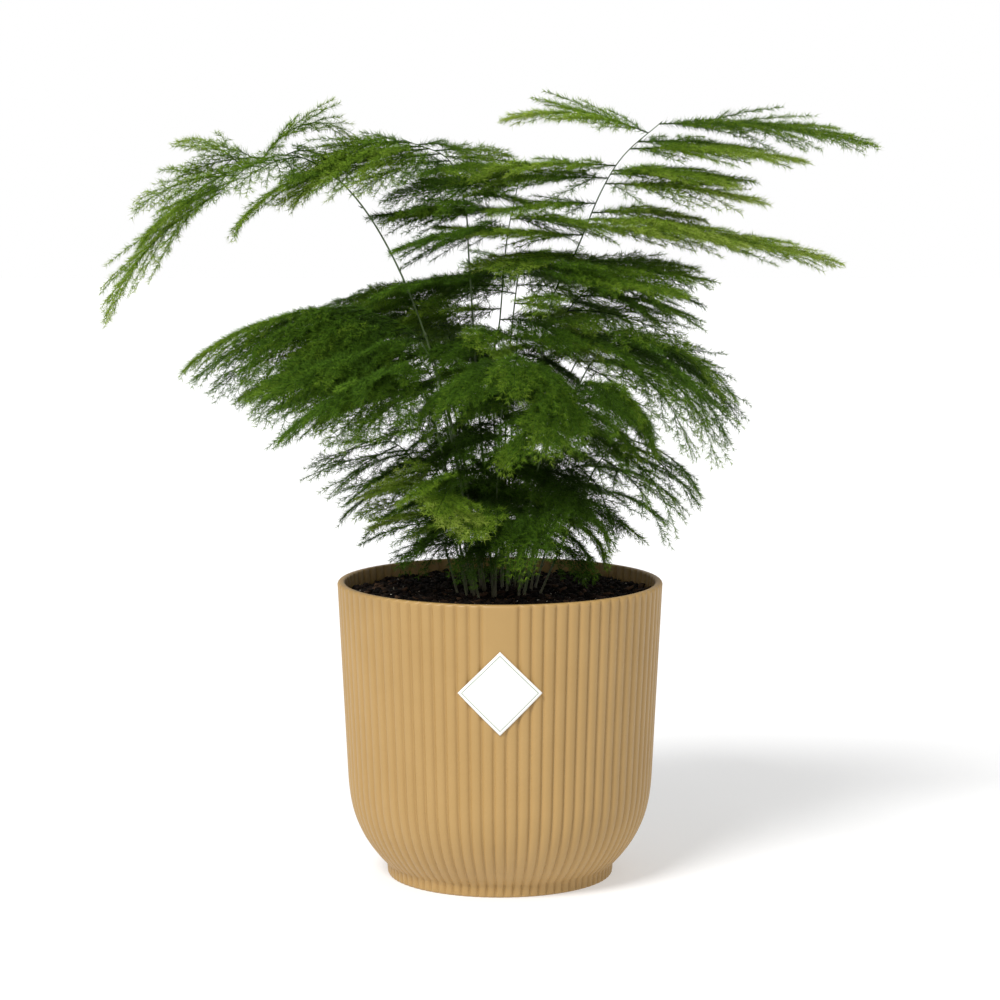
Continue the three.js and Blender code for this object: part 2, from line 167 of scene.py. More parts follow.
camera = bpy.data.objects.new("camera", bpy.data.cameras.new("camera"))
camera.data.lens = view["lens"]
camera.location = view["place"]
camera.rotation_euler = (math.radians(90 - view["tiltDown"]), 0, 0)
scene.collection.objects.link(camera)
scene.camera = camera


def makeStudio():
    # an even pale sky lights the shadows; behind the object it is plain white
    studio = bpy.data.worlds.new("studio")
    studio.use_nodes = True
    tree = studio.node_tree
    sky = tree.nodes["Background"]
    sky.inputs["Color"].default_value = (1, 1, 1, 1)
    sky.inputs["Strength"].default_value = light["sky"]
    backdrop = node(tree, "ShaderNodeBackground", links={
        "Color": (1, 1, 1, 1), "Strength": light["backdrop"]})
    path = node(tree, "ShaderNodeLightPath")
    either = node(tree, "ShaderNodeMixShader", links={
        0: (path, "Is Camera Ray"), 1: (sky, "Background"), 2: (backdrop, "Background")})
    tree.links.new(either.outputs[0], tree.nodes["World Output"].inputs["Surface"])
    scene.world = studio
    sun = bpy.data.objects.new("soft_sun", bpy.data.lights.new("soft_sun", "SUN"))
    sun.data.energy = light["sun"]
    sun.data.angle = math.radians(light["softness"])
    sun.rotation_euler = Vector(light["sunFrom"]).to_track_quat("Z", "Y").to_euler()
    scene.collection.objects.link(sun)


makeStudio()
scene.view_settings.view_transform = "Standard"
# a matt white sheet lit softly from below, so that shadows on it stay pale
floorMaterial, _, _ = principled("matt lit studio floor", Base_Color=linear(light["floor"]), Roughness=0.9,
                                 Emission_Color=(1, 1, 1, 1), Emission_Strength=light["floorGlow"])
corner = light["floorSize"] / 2
floor = meshPiece(
    "floor",
    [(-corner, -corner, 0), (corner, -corner, 0), (corner, corner, 0), (-corner, corner, 0)],
    [np.array([[0, 1, 2, 3]])],
    floorMaterial,
)
print("stage: camera, light and floor")


# pot: injection moulded polypropylene, which has a satin skin with a very fine, even grain

pot = {
    "ribs": 82, "ribDepth": 1.35, "ribRoundness": 3.0, "samplesPerRib": 10,
    "panelRibs": 3, "panelBottom": 75, "wall": 3.3,
    "foot": 49.0, "footHeight": 5.0, "cornerHeight": 41.0, "cornerCurve": 2.7,
    "lean": 0.05, "rimRounding": 1.6, "lipOuter": 1.3, "lipInner": 1.1,
    "colour": "#ad8b54", "paler": "#b29059", "grain": 0.35, "grainHeight": 0.012, "mottle": 22,
}
potLow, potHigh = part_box("pot")
potHeight = potHigh.z / mm
rimRadius = (potHigh.x - potLow.x) / 2 / mm


def potMaterial():
    made, tree, shader = principled(
        "injection moulded polypropylene", Roughness=0.44, IOR=1.49, Specular_IOR_Level=0.45)
    where = node(tree, "ShaderNodeTexCoord")
    mottle = node(tree, "ShaderNodeTexNoise", links={
        "Vector": (where, "Object"), "Scale": 1 / (pot["mottle"] * mm), "Detail": 3.0})
    tone = ramp(tree, (mottle, "Fac"), [(0.3, pot["colour"]), (0.72, pot["paler"])])
    tree.links.new(tone.outputs["Color"], shader.inputs["Base Color"])
    grain = node(tree, "ShaderNodeTexNoise", links={
        "Vector": (where, "Object"), "Scale": 1 / (pot["grain"] * mm), "Detail": 2.0})
    bump(tree, shader, (grain, "Fac"), pot["grainHeight"] * mm)
    return made


def potRadius(z):
    # outer radius in mm at a height in mm: the wall leans out, and its lower corner
    # pulls in to the foot on a power curve
    straight = pot["lean"] * (potHeight - pot["rimRounding"])
    pull = rimRadius - straight + pot["lean"] * pot["footHeight"] - pot["foot"]
    share = np.clip((z - pot["footHeight"]) / pot["cornerHeight"], 0, 1)
    return rimRadius - straight + pot["lean"] * z - pull * (1 - share) ** pot["cornerCurve"]


def potProfile():
    # rows of (radius, height, share of the rib depth), from the middle of the base
    # round to the middle of the floor, for a rim of 70 mm radius and a height of 128 mm
    rows = [(r, 1.5, 0) for r in (12, 26, 40, 44)]
    rows += [(44.8, 1.2, 0), (45.4, 0.3, 0), (46.2, 0, 0), (47.6, 0, 0.1)]
    rows += [(48.4, 0.25, 0.3), (48.8, 0.9, 0.6), (48.95, 2.2, 0.8), (49.05, 3.8, 0.85)]
    cornerTop = pot["footHeight"] + pot["cornerHeight"]
    heights = np.concatenate([
        np.linspace(pot["footHeight"] + 0.3, cornerTop, 28)[:-1], np.linspace(cornerTop, 125.6, 15)])
    rows += [(potRadius(z), z, 1 if z > 12 else 0.85) for z in heights]
    lip = np.radians(np.arange(0, 91, 18))
    bend = pot["lipOuter"]
    for a in lip:
        c, s = math.cos(a), math.sin(a)
        rows.append((70 - bend + bend * c, 128 - bend + bend * s, 0.8 * c ** 2))
    bend, inner = pot["lipInner"], 70 - pot["wall"]
    for a in lip:
        c, s = math.cos(a), math.sin(a)
        rows.append((inner + bend - bend * s, 128 - bend + bend * c, 0.5 * s ** 2))
    for z in (124, 120, 115, 105, 90, 70, 50, 36, 26, 20, 15, 11, 8):
        rows.append((potRadius(z) - pot["wall"] - 0.2, z, 0.6))
    rows += [(46, 5, 0.3), (43, 4, 0), (30, 4, 0), (14, 4, 0)]
    return np.array(rows) * (rimRadius / 70, potHeight / 128, 1)


def makePot():
    rows = potProfile()
    columns = pot["ribs"] * pot["samplesPerRib"]
    turn = np.arange(columns) * 2 * np.pi / columns
    pitch = turn / (2 * np.pi) * pot["ribs"]
    nearFront = np.minimum(pitch, pot["ribs"] - pitch)
    ribDrop = np.abs(2 * (pitch - np.round(pitch))) ** pot["ribRoundness"]
    toEdge = np.clip(pot["panelRibs"] / 2 - nearFront, 0, None)
    panelDrop = np.clip(1 - 2 * toEdge, 0, 1) ** pot["ribRoundness"]
    onPanel = nearFront <= pot["panelRibs"] / 2
    upper = np.clip((rows[:, 1] - pot["panelBottom"] + 1) / 2, 0, 1)[:, None] * onPanel[None]
    insideRows = 23  # the lip's inner bend, the inner wall and the floor
    outside = (np.arange(len(rows)) < len(rows) - insideRows)[:, None]
    drop = np.where(outside, ribDrop * (1 - upper) + panelDrop * upper, ribDrop)
    inward = np.where(outside, 1, -1)
    radius = (rows[:, 0:1] - inward * pot["ribDepth"] * rows[:, 2:3] * drop) * mm
    height = np.repeat(rows[:, 1:2], columns, 1) * mm
    points = np.stack([radius * np.sin(turn), -radius * np.cos(turn), height], 2).reshape(-1, 3)
    k = np.arange(columns)
    low = (np.arange(len(rows) - 1)[:, None] * columns + k).reshape(-1)
    lowNext = (np.arange(len(rows) - 1)[:, None] * columns + (k + 1) % columns).reshape(-1)
    walls = np.stack([low, lowNext, lowNext + columns, low + columns], 1)
    last = (len(rows) - 1) * columns
    points = np.vstack([points, (0, 0, rows[0, 1] * mm), (0, 0, rows[-1, 1] * mm)])
    caps = np.vstack([
        np.stack([(k + 1) % columns, k, np.full(columns, len(points) - 2)], 1),
        np.stack([last + k, last + (k + 1) % columns, np.full(columns, len(points) - 1)], 1),
    ])
    made = meshPiece("planter", points, [walls, caps], potMaterial())
    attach(made, "root")
    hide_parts("pot")


makePot()
print("stage: pot")


# label: coated paper, smooth and slightly glossy, with a fine printed keyline

label = {"thickness": 0.15, "lift": 0.3, "steps": 40, "paper": "#f7f6f2",
         "line": "#8fa08a", "inset": 1.3, "lineWidth": 0.42}
labelLow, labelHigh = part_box("label")
labelMiddle = (labelLow.z + labelHigh.z) / 2
labelReach = (labelHigh.z - labelLow.z) / 2


def labelMaterial():
    made, tree, shader = principled("coated label paper", Roughness=0.5, IOR=1.5)
    where = node(tree, "ShaderNodeTexCoord")
    split = node(tree, "ShaderNodeSeparateXYZ", links={"Vector": (where, "Object")})
    sideways = node(tree, "ShaderNodeMath", {"operation": "ABSOLUTE"}, {0: (split, "X")})
    above = node(tree, "ShaderNodeMath", {"operation": "SUBTRACT"}, {0: (split, "Z"), 1: labelMiddle})
    upward = node(tree, "ShaderNodeMath", {"operation": "ABSOLUTE"}, {0: (above, 0)})
    reach = node(tree, "ShaderNodeMath", {"operation": "ADD"}, {0: (sideways, 0), 1: (upward, 0)})
    inside = labelReach - label["inset"] * math.sqrt(2) * mm
    away = node(tree, "ShaderNodeMath", {"operation": "SUBTRACT"}, {0: (reach, 0), 1: inside})
    near = node(tree, "ShaderNodeMath", {"operation": "ABSOLUTE"}, {0: (away, 0)})
    inked = node(tree, "ShaderNodeMath", {"operation": "LESS_THAN"}, {
        0: (near, 0), 1: label["lineWidth"] / 2 * mm})
    fibre = node(tree, "ShaderNodeTexNoise", links={
        "Vector": (where, "Object"), "Scale": 1 / (0.8 * mm), "Detail": 3.0})
    paper = ramp(tree, (fibre, "Fac"), [(0.3, "#f3f2ed"), (0.7, label["paper"])])
    mixed = node(tree, "ShaderNodeMix", {"data_type": "RGBA"}, {
        0: (inked, 0), 6: (paper, "Color"), 7: linear(label["line"])})
    tree.links.new(mixed.outputs[2], shader.inputs["Base Color"])
    bump(tree, shader, (fibre, "Fac"), 0.004 * mm)
    return made


def makeLabel():
    n = label["steps"]
    a, b = np.meshgrid(np.linspace(-1, 1, n), np.linspace(-1, 1, n), indexing="ij")
    x = (a - b).reshape(-1) / 2 * labelReach
    z = labelMiddle + (a + b).reshape(-1) / 2 * labelReach
    layers = []
    for out in (label["lift"] + label["thickness"], label["lift"]):
        radius = (potRadius(z / mm) + out) * mm
        turn = x / radius
        layers.append(np.stack([radius * np.sin(turn), -radius * np.cos(turn), z], 1))
    i, j = np.meshgrid(np.arange(n - 1), np.arange(n - 1), indexing="ij")
    base = (i * n + j).reshape(-1)
    front = np.stack([base, base + n, base + n + 1, base + 1], 1)
    back = front[:, ::-1] + n * n
    edge = np.concatenate([np.arange(n) * n, (n - 1) * n + np.arange(1, n),
                           np.arange(n - 2, -1, -1) * n + n - 1, np.arange(n - 2, 0, -1)])
    onward = np.roll(edge, -1)
    rim = np.stack([onward, edge, edge + n * n, onward + n * n], 1)
    made = meshPiece("label_sticker", np.vstack(layers), [front, back, rim], labelMaterial())
    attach(made, "root")
    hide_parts("label")


makeLabel()
print("stage: label")


# growing mix: damp peat, crumbly and near black, with bark fibres and a few pale grains of perlite

soil = {
    "rings": 70, "spokes": 300, "unevenness": 1.0, "crumbs": 8000, "smallest": 0.35, "largest": 1.5,
    "seed": 11, "palePart": 0.11, "barkPart": 0.12,
}
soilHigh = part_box("soil")[1].z / mm
soilRadius = (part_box("soil")[1].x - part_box("soil")[0].x) / 2 / mm


def soilRise(x, y):
    # height of the surface above the CAD level in mm, at x and y in mm
    waves = [(0.21, 0.13, 0.3, 0.5), (-0.11, 0.27, 1.9, 0.4),
             (0.47, -0.38, 4.1, 0.25), (0.83, 0.71, 2.2, 0.14)]
    lift = sum(h * np.sin(a * x + b * y + c) for a, b, c, h in waves)
    return soil["unevenness"] * lift - 0.3


def peatMaterial(name, paleSpecks):
    made, tree, shader = principled(name, Roughness=0.92, IOR=1.4, Specular_IOR_Level=0.25)
    if paleSpecks:
        place = node(tree, "ShaderNodeUVMap", {"uv_map": "OFBake"})
        split = node(tree, "ShaderNodeSeparateXYZ", links={"Vector": (place, "UV")})
        tone = ramp(tree, (split, "X"), [
            (0.0, "#0c0908"), (0.35, "#1a1310"), (0.7, "#2c2019"), (0.82, "#4a3526"),
            (0.9, "#6b5240"), (0.95, "#b9b0a0"), (1.0, "#dcd7cc")])
    else:
        where = node(tree, "ShaderNodeTexCoord")
        grit = node(tree, "ShaderNodeTexNoise", links={
            "Vector": (where, "Object"), "Scale": 1 / (1.2 * mm), "Detail": 5.0})
        tone = ramp(tree, (grit, "Fac"), [(0.35, "#0d0a09"), (0.55, "#1b1411"), (0.75, "#33261d")])
        bump(tree, shader, (grit, "Fac"), 0.5 * mm)
    tree.links.new(tone.outputs["Color"], shader.inputs["Base Color"])
    return made


def makeSoil():
    rings, spokes = soil["rings"], soil["spokes"]
    turn = np.arange(spokes) * 2 * np.pi / spokes
    radius = np.linspace(0, soilRadius + 0.3, rings + 1)[1:, None]
    x, y = radius * np.cos(turn), radius * np.sin(turn)
    z = soilHigh + soilRise(x, y)
    side = []
    for height in (118, 100, 70, 45, 28, 16, 9, 4.6):
        edge = np.interp(height, [4, 9, 16, 28, 45, 70, 100, 118], [43, 48, 55, 60, 62, 63.3, 64.9, 65.6])
        side.append(np.stack([edge * np.cos(turn), edge * np.sin(turn), np.full(spokes, height)], 1))
    grid = np.vstack([np.stack([x, y, z], 2).reshape(-1, 3), *side])
    rows = rings + len(side)
    k = np.arange(spokes)
    low = (np.arange(rows - 1)[:, None] * spokes + k).reshape(-1)
    lowNext = (np.arange(rows - 1)[:, None] * spokes + (k + 1) % spokes).reshape(-1)
    walls = np.stack([low, low + spokes, lowNext + spokes, lowNext], 1)
    last = (rows - 1) * spokes
    points = np.vstack([grid, (0, 0, soilHigh + soilRise(0, 0)), (0, 0, 4.6)])
    caps = np.vstack([
        np.stack([k, (k + 1) % spokes, np.full(spokes, len(points) - 2)], 1),
        np.stack([last + (k + 1) % spokes, last + k, np.full(spokes, len(points) - 1)], 1),
    ])
    made = meshPiece("peat_bed", points * mm, [walls, caps], peatMaterial("damp peat", False))
    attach(made, "root")
    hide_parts("soil")


def icosahedron():
    g = (1 + 5 ** 0.5) / 2
    points = np.array([
        (-1, g, 0), (1, g, 0), (-1, -g, 0), (1, -g, 0), (0, -1, g), (0, 1, g),
        (0, -1, -g), (0, 1, -g), (g, 0, -1), (g, 0, 1), (-g, 0, -1), (-g, 0, 1)])
    faces = np.array([
        (0, 11, 5), (0, 5, 1), (0, 1, 7), (0, 7, 10), (0, 10, 11), (1, 5, 9), (5, 11, 4),
        (11, 10, 2), (10, 7, 6), (7, 1, 8), (3, 9, 4), (3, 4, 2), (3, 2, 6), (3, 6, 8),
        (3, 8, 9), (4, 9, 5), (2, 4, 11), (6, 2, 10), (8, 6, 7), (9, 8, 1)])
    return points / math.hypot(1, g), faces


def makeCrumbs():
    rng = np.random.default_rng(soil["seed"])
    count = soil["crumbs"]
    form, faces = icosahedron()
    radius = (soilRadius - 0.6) * np.sqrt(rng.random(count))
    turn = rng.random(count) * 2 * np.pi
    x, y = radius * np.cos(turn), radius * np.sin(turn)
    size = soil["smallest"] + (soil["largest"] - soil["smallest"]) * rng.random(count) ** 3.2
    kind = rng.random(count)
    pale = kind < soil["palePart"]
    bark = kind > 1 - soil["barkPart"]
    size = np.where(pale, 0.16 + 0.3 * rng.random(count), size)
    stretch = np.stack([1 + 0.5 * rng.random(count) + 1.6 * bark, 0.8 + 0.4 * rng.random(count),
                        0.6 + 0.3 * rng.random(count)], 1)
    rough = 1 + 0.35 * (rng.random((count, 12, 1)) - 0.5)
    lumps = form[None] * rough * stretch[:, None] * size[:, None, None]
    spin = rng.random(count) * 2 * np.pi
    tilt = (rng.random(count) - 0.5) * 1.2
    c, s = np.cos(spin), np.sin(spin)
    ct, st = np.cos(tilt), np.sin(tilt)
    lx, ly, lz = lumps[..., 0], lumps[..., 1], lumps[..., 2]
    lx, lz = lx * ct[:, None] + lz * st[:, None], -lx * st[:, None] + lz * ct[:, None]
    gx = lx * c[:, None] - ly * s[:, None] + x[:, None]
    gy = lx * s[:, None] + ly * c[:, None] + y[:, None]
    level = soilHigh + soilRise(x, y) + size * (0.1 + 0.5 * rng.random(count))
    gz = lz + level[:, None]
    points = np.stack([gx, gy, gz], 2).reshape(-1, 3)
    tris = (faces[None] + 12 * np.arange(count)[:, None, None]).reshape(-1, 3)
    paleTone = 0.93 + 0.06 * rng.random(count)
    barkTone = 0.6 + 0.28 * rng.random(count)
    peatTone = 0.7 * rng.random(count)
    tone = np.where(pale, paleTone, np.where(bark, barkTone, peatTone))[:, None]
    spread = form[:, 0] * 0.006
    uv = np.stack([np.clip(tone + spread, 0.001, 0.999), 0.5 + 0.4 * form[None, :, 2] + 0 * tone], 2)
    skin = peatMaterial("peat crumbs and perlite", True)
    made = meshPiece("peat_crumbs", points * mm, [tris], skin, uv.reshape(-1, 2))
    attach(made, "root")


makeSoil()
makeCrumbs()
print("stage: growing mix")


# crown: woody and scaly under the surface, with swollen storage roots that have a dull corky skin

crown = {"depth": 17, "rootRadius": 1.9, "barkGrain": 2.2,
         "roots": [(10, 26, 44), (70, 22, 56), (130, 27, 40), (190, 23, 60), (250, 26, 46), (310, 21, 58)]}


def makeCrown():
    made, tree, shader = principled("corky crown and roots", Roughness=0.85, IOR=1.45)
    where = node(tree, "ShaderNodeTexCoord")
    bark = node(tree, "ShaderNodeTexNoise", links={
        "Vector": (where, "Object"), "Scale": 1 / (crown["barkGrain"] * mm), "Detail": 5.0})
    tone = ramp(tree, (bark, "Fac"), [(0.3, "#4a3320"), (0.55, "#7a5a38"), (0.75, "#a3835a")])
    tree.links.new(tone.outputs["Color"], shader.inputs["Base Color"])
    bump(tree, shader, (bark, "Fac"), 0.3 * mm)
    spokes = 72
    # rows of (radius, height from the surface) in mm, from the top round to the underside
    rows = np.array([(6, 0.35), (12, 0.3), (18, 0.2), (22, 0.1), (24.4, 0), (24.8, -0.6), (24.6, -2.5),
                     (23.4, -5.2), (21, -7.8), (17, -10.6), (11.5, -13.6), (5, -15.6)])
    turn = np.arange(spokes) * 2 * np.pi / spokes
    lumps = 1 + 0.02 * np.sin(7 * turn + 1) + 0.013 * np.sin(17 * turn)
    x, y = rows[:, :1] * lumps * np.cos(turn), rows[:, :1] * lumps * np.sin(turn)
    z = np.repeat(soilHigh + rows[:, 1:2] - 0.9, spokes, 1)
    middles = np.array([(0, 0, soilHigh - 0.5), (0, 0, soilHigh - 16.6)])
    points = [np.stack([x, y, z], 2).reshape(-1, 3), middles]
    k = np.arange(spokes)
    low = (np.arange(len(rows) - 1)[:, None] * spokes + k).reshape(-1)
    lowNext = (np.arange(len(rows) - 1)[:, None] * spokes + (k + 1) % spokes).reshape(-1)
    faces = [np.stack([low, low + spokes, lowNext + spokes, lowNext], 1)]
    last, middle = (len(rows) - 1) * spokes, len(rows) * spokes
    faces.append(np.stack([k, (k + 1) % spokes, np.full(spokes, middle)], 1))
    faces.append(np.stack([last + (k + 1) % spokes, last + k, np.full(spokes, middle + 1)], 1))
    count = middle + 2
    for heading, reach, drop in crown["roots"]:
        a = math.radians(heading)
        at = np.linspace(0, 1, 26)
        out = 8 + reach * np.sin(at * 1.4)
        wander = 0.5 * np.sin(at * 9 + heading)
        path = np.stack([out * math.cos(a) - wander * math.sin(a), out * math.sin(a) + wander * math.cos(a),
                         soilHigh - 0.4 * crown["depth"] - drop * (0.25 * at + 0.75 * at ** 2)], 1)
        knobbly = 1 + 0.12 * np.sin(at * 21 + heading)
        thick = crown["rootRadius"] * (1 - 0.6 * at) * knobbly * np.where(at > 0.98, 0.5, 1)
        more, walls, caps = tube(path, thick, 14, np.array([-math.sin(a), math.cos(a), 0]))
        points.append(more)
        faces += [walls + count, caps + count]
        count += len(more)
    piece = meshPiece("crown_and_roots", np.vstack(points) * mm, faces, made)
    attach(piece, "root")
    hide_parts("root_crown")


makeCrown()
print("stage: crown")


# shoots: each is a wiry stem with a leafy frond; plumes are [place, heading, length, rise, droop]

def fan(heading, spread, count, longest, rise, droop):
    plumes = []
    for i in range(count):
        at = i / (count - 1)
        side = 0 if i == count - 1 else (-1 if i % 2 == 0 else 1)
        swell = 0.62 + 0.38 * math.sin(math.pi * min(1, 0.2 + 0.75 * at))
        length = longest * swell * (1 + 0.08 * math.sin(2.4 * i + heading))
        turn = heading + side * spread * (1 - 0.55 * at) + 6 * math.sin(1.7 * i + heading)
        plumes.append([at, turn, length, rise + 5 * math.sin(2.9 * i + heading), droop])
    return plumes


def whorl(first, count, longest, rise, droop):
    # each plume turns by the golden angle from the one before
    plumes = []
    for i in range(count):
        at = i / (count - 1)
        length = longest * (0.7 + 0.3 * math.sin(math.pi * min(1, 0.15 + 0.75 * at)))
        plumes.append([at, first + 137.5 * i, length, rise + 5 * math.sin(2.9 * i + first), droop])
    return plumes


shoots = [
  {"name": "left_arch", "foot": [-6, 5], "leafy": 0.58,
    "bends": [[-19, 0, 189], [-34, -3, 240], [-50, -7, 276], [-67, -12, 299], [-86, -16, 310],
      [-104, -18, 306], [-118, -20, 294]],
    "plumes": [[0, 206, 52, -4, 60], [0.1, 24, 26, 8, 20], [0.24, 238, 48, 0, 34], [0.36, 40, 24, 20, 70],
      [0.5, 172, 40, 2, 34], [0.56, 20, 46, 58, 104], [0.66, 215, 42, -12, 42], [0.72, 150, 36, 40, 50],
      [0.8, 178, 46, 0, 44], [0.88, 205, 50, -18, 36], [0.95, 170, 44, -14, 46], [1, 194, 72, -30, 40]]},
  {"name": "left_crest", "foot": [-3, 9], "leafy": 0.78,
    "bends": [[-9, 6, 200], [-13, 3, 262], [-15, 2, 290], [-22, 4, 308], [-40, 4, 316]],
    "plumes": [[0, 216, 48, 0, 34], [0.14, 350, 34, 0, 12], [0.26, 202, 76, -4, 28], [0.4, 12, 32, 6, 22],
      [0.52, 172, 56, -4, 22], [0.66, 206, 66, 0, 52], [0.76, 20, 26, 10, 60], [0.88, 196, 58, 4, 50],
      [1, 184, 44, 0, 52]]},
  {"name": "tall_right", "foot": [8, 8], "leafy": 0.38,
    "bends": [[14, 8, 185], [21, 8, 243], [33, 8, 270], [43, 8, 294], [53, 8, 310], [69, 8, 324]],
    "plumes": [[0, 330, 60, 0, 14], [0.05, 356, 62, 1, 14], [0.08, 14, 56, 2, 12], [0.12, 192, 46, 0, 14],
      [0.22, 184, 62, 2, -4], [0.26, 357, 108, -2, 14], [0.3, 338, 70, -1, 18], [0.33, 14, 50, 2, 14],
      [0.38, 206, 50, 2, 14], [0.5, 349, 68, 0, 15], [0.54, 176, 80, 2, 8], [0.57, 10, 62, 2, 12],
      [0.6, 330, 58, 2, 18], [0.64, 196, 62, 4, 16], [0.78, 352, 74, 2, 14], [0.84, 22, 48, 2, 12],
      [0.92, 182, 62, 22, 40], [1, 1, 92, 2, 18]]},
  {"name": "centre_spire", "foot": [1, 12], "leafy": 0.34,
    "bends": [[-3, 11, 213], [0, 10, 240], [3, 10, 274], [9, 11, 303]],
    "plumes": [[0, 206, 52, 0, 26], [0.06, 340, 48, 0, 22], [0.12, 262, 36, 0, 24], [0.2, 24, 42, 0, 20],
      [0.26, 188, 48, 0, 20], [0.38, 164, 64, 0, 16], [0.43, 200, 60, 0, 20], [0.48, 350, 60, 0, 16],
      [0.53, 24, 48, 0, 16], [0.67, 214, 58, 2, 22], [0.73, 335, 50, 2, 14], [0.78, 176, 60, 2, 10],
      [0.93, 202, 60, 4, 22], [1, 150, 48, 12, 28]]},
  {"name": "left_wing", "foot": [-10, 3], "leafy": 0.66,
    "bends": [[-20, -3, 190], [-34, -10, 232], [-60, -17, 247]],
    "plumes": [[0, 232, 54, -8, 34], [0.1, 140, 46, 0, 24], [0.22, 210, 66, -8, 32], [0.34, 158, 56, 2, 30],
      [0.46, 222, 56, -10, 30], [0.56, 196, 80, -8, 30], [0.68, 166, 60, 2, 34], [0.78, 208, 66, -10, 34],
      [0.9, 190, 78, -6, 36], [1, 178, 80, -2, 42]]},
  {"name": "left_wing_low", "foot": [-14, -3], "leafy": 0.62,
    "bends": [[-22, -14, 174], [-34, -26, 216], [-52, -34, 229]],
    "plumes": fan(196, 46, 9, 78, -3, 26)},
  {"name": "wedge_middle", "foot": [-11, -8], "leafy": 0.6,
    "bends": [[-17, -10, 172], [-28, -14, 215], [-46, -13, 238]],
    "plumes": fan(190, 50, 9, 66, -3, 28)},
  {"name": "front_fall", "foot": [-2, -9], "leafy": 0.6,
    "bends": [[-1, -18, 176], [2, -34, 214], [8, -46, 228]],
    "plumes": fan(266, 84, 9, 42, 6, 80)},
  {"name": "front_right_fall", "foot": [8, -7], "leafy": 0.6,
    "bends": [[14, -18, 170], [24, -34, 204], [35, -46, 218]],
    "plumes": fan(302, 76, 9, 42, 4, 80)},
  {"name": "right_wing", "foot": [13, 4], "leafy": 0.64,
    "bends": [[24, 3, 182], [38, 2, 220], [55, 0, 233]],
    "plumes": fan(351, 46, 9, 76, -5, 62)},
  {"name": "right_low", "foot": [17, -3], "leafy": 0.56,
    "bends": [[29, -7, 150], [42, -10, 180], [56, -12, 190]],
    "plumes": fan(344, 50, 8, 54, -10, 56)},
  {"name": "left_low", "foot": [-18, -5], "leafy": 0.58,
    "bends": [[-26, -12, 152], [-37, -19, 182], [-49, -24, 193]],
    "plumes": fan(197, 30, 6, 44, -13, 20)},
  {"name": "left_skirt", "foot": [-14, -12], "leafy": 0.5,
    "bends": [[-19, -20, 146], [-28, -28, 166]],
    "plumes": fan(204, 38, 5, 34, -6, 30)},
  {"name": "bright_shelf", "foot": [-9, -14], "leafy": 0.54,
    "bends": [[-15, -22, 152], [-26, -32, 180]],
    "plumes": fan(212, 74, 9, 42, 0, 24)},
  {"name": "right_skirt", "foot": [10, -14], "leafy": 0.52,
    "bends": [[16, -20, 148], [24, -30, 172]],
    "plumes": fan(310, 68, 8, 34, 0, 80)},
  {"name": "back_left", "foot": [-8, 15], "leafy": 0.6,
    "bends": [[-18, 32, 190], [-31, 52, 228], [-45, 70, 236]],
    "plumes": fan(126, 62, 9, 56, 2, 44)},
  {"name": "back_rise", "foot": [1, 18], "leafy": 0.6,
    "bends": [[3, 34, 205], [7, 54, 248], [10, 78, 262]],
    "plumes": fan(86, 70, 9, 54, 4, 40)},
  {"name": "back_right", "foot": [9, 15], "leafy": 0.6,
    "bends": [[21, 30, 185], [36, 50, 222], [52, 66, 230]],
    "plumes": fan(50, 60, 9, 56, 2, 46)},
  {"name": "back_low", "foot": [4, 22], "leafy": 0.5,
    "bends": [[3, 38, 152], [2, 54, 180]],
    "plumes": fan(92, 70, 8, 44, 0, 52)},
  {"name": "back_left_low", "foot": [-12, 11], "leafy": 0.5,
    "bends": [[-22, 22, 155], [-34, 36, 190]],
    "plumes": fan(140, 62, 8, 46, 0, 46)},
  {"name": "back_right_low", "foot": [15, 12], "leafy": 0.5,
    "bends": [[25, 22, 154], [38, 34, 188]],
    "plumes": fan(40, 62, 8, 46, 0, 50)},
  {"name": "inner_left", "foot": [-7, 10], "leafy": 0.6,
    "bends": [[-14, 15, 195], [-24, 22, 236], [-40, 30, 250]],
    "plumes": fan(150, 62, 9, 54, 2, 30)},
  {"name": "inner_right", "foot": [6, 13], "leafy": 0.58,
    "bends": [[16, 17, 198], [28, 21, 240], [46, 24, 258]],
    "plumes": fan(16, 64, 9, 60, 2, 36)},
  {"name": "core_front", "foot": [-3, -6], "leafy": 0.36,
    "bends": [[-5, -12, 156], [-9, -18, 206]],
    "plumes": whorl(250, 10, 36, 0, 50)},
  {"name": "core_right", "foot": [10, -2], "leafy": 0.34,
    "bends": [[17, -6, 156], [26, -10, 206]],
    "plumes": whorl(320, 10, 38, 0, 56)},
  {"name": "core_left", "foot": [-12, 2], "leafy": 0.36,
    "bends": [[-17, 2, 156], [-25, 1, 210]],
    "plumes": whorl(200, 10, 36, -4, 34)},
  {"name": "core_back", "foot": [1, 8], "leafy": 0.34,
    "bends": [[1, 14, 160], [0, 22, 212]],
    "plumes": whorl(90, 10, 42, 0, 42)},
  {"name": "core_middle", "foot": [3, 2], "leafy": 0.38,
    "bends": [[4, 1, 172], [8, -3, 242]],
    "plumes": whorl(20, 11, 42, 2, 40)},
]
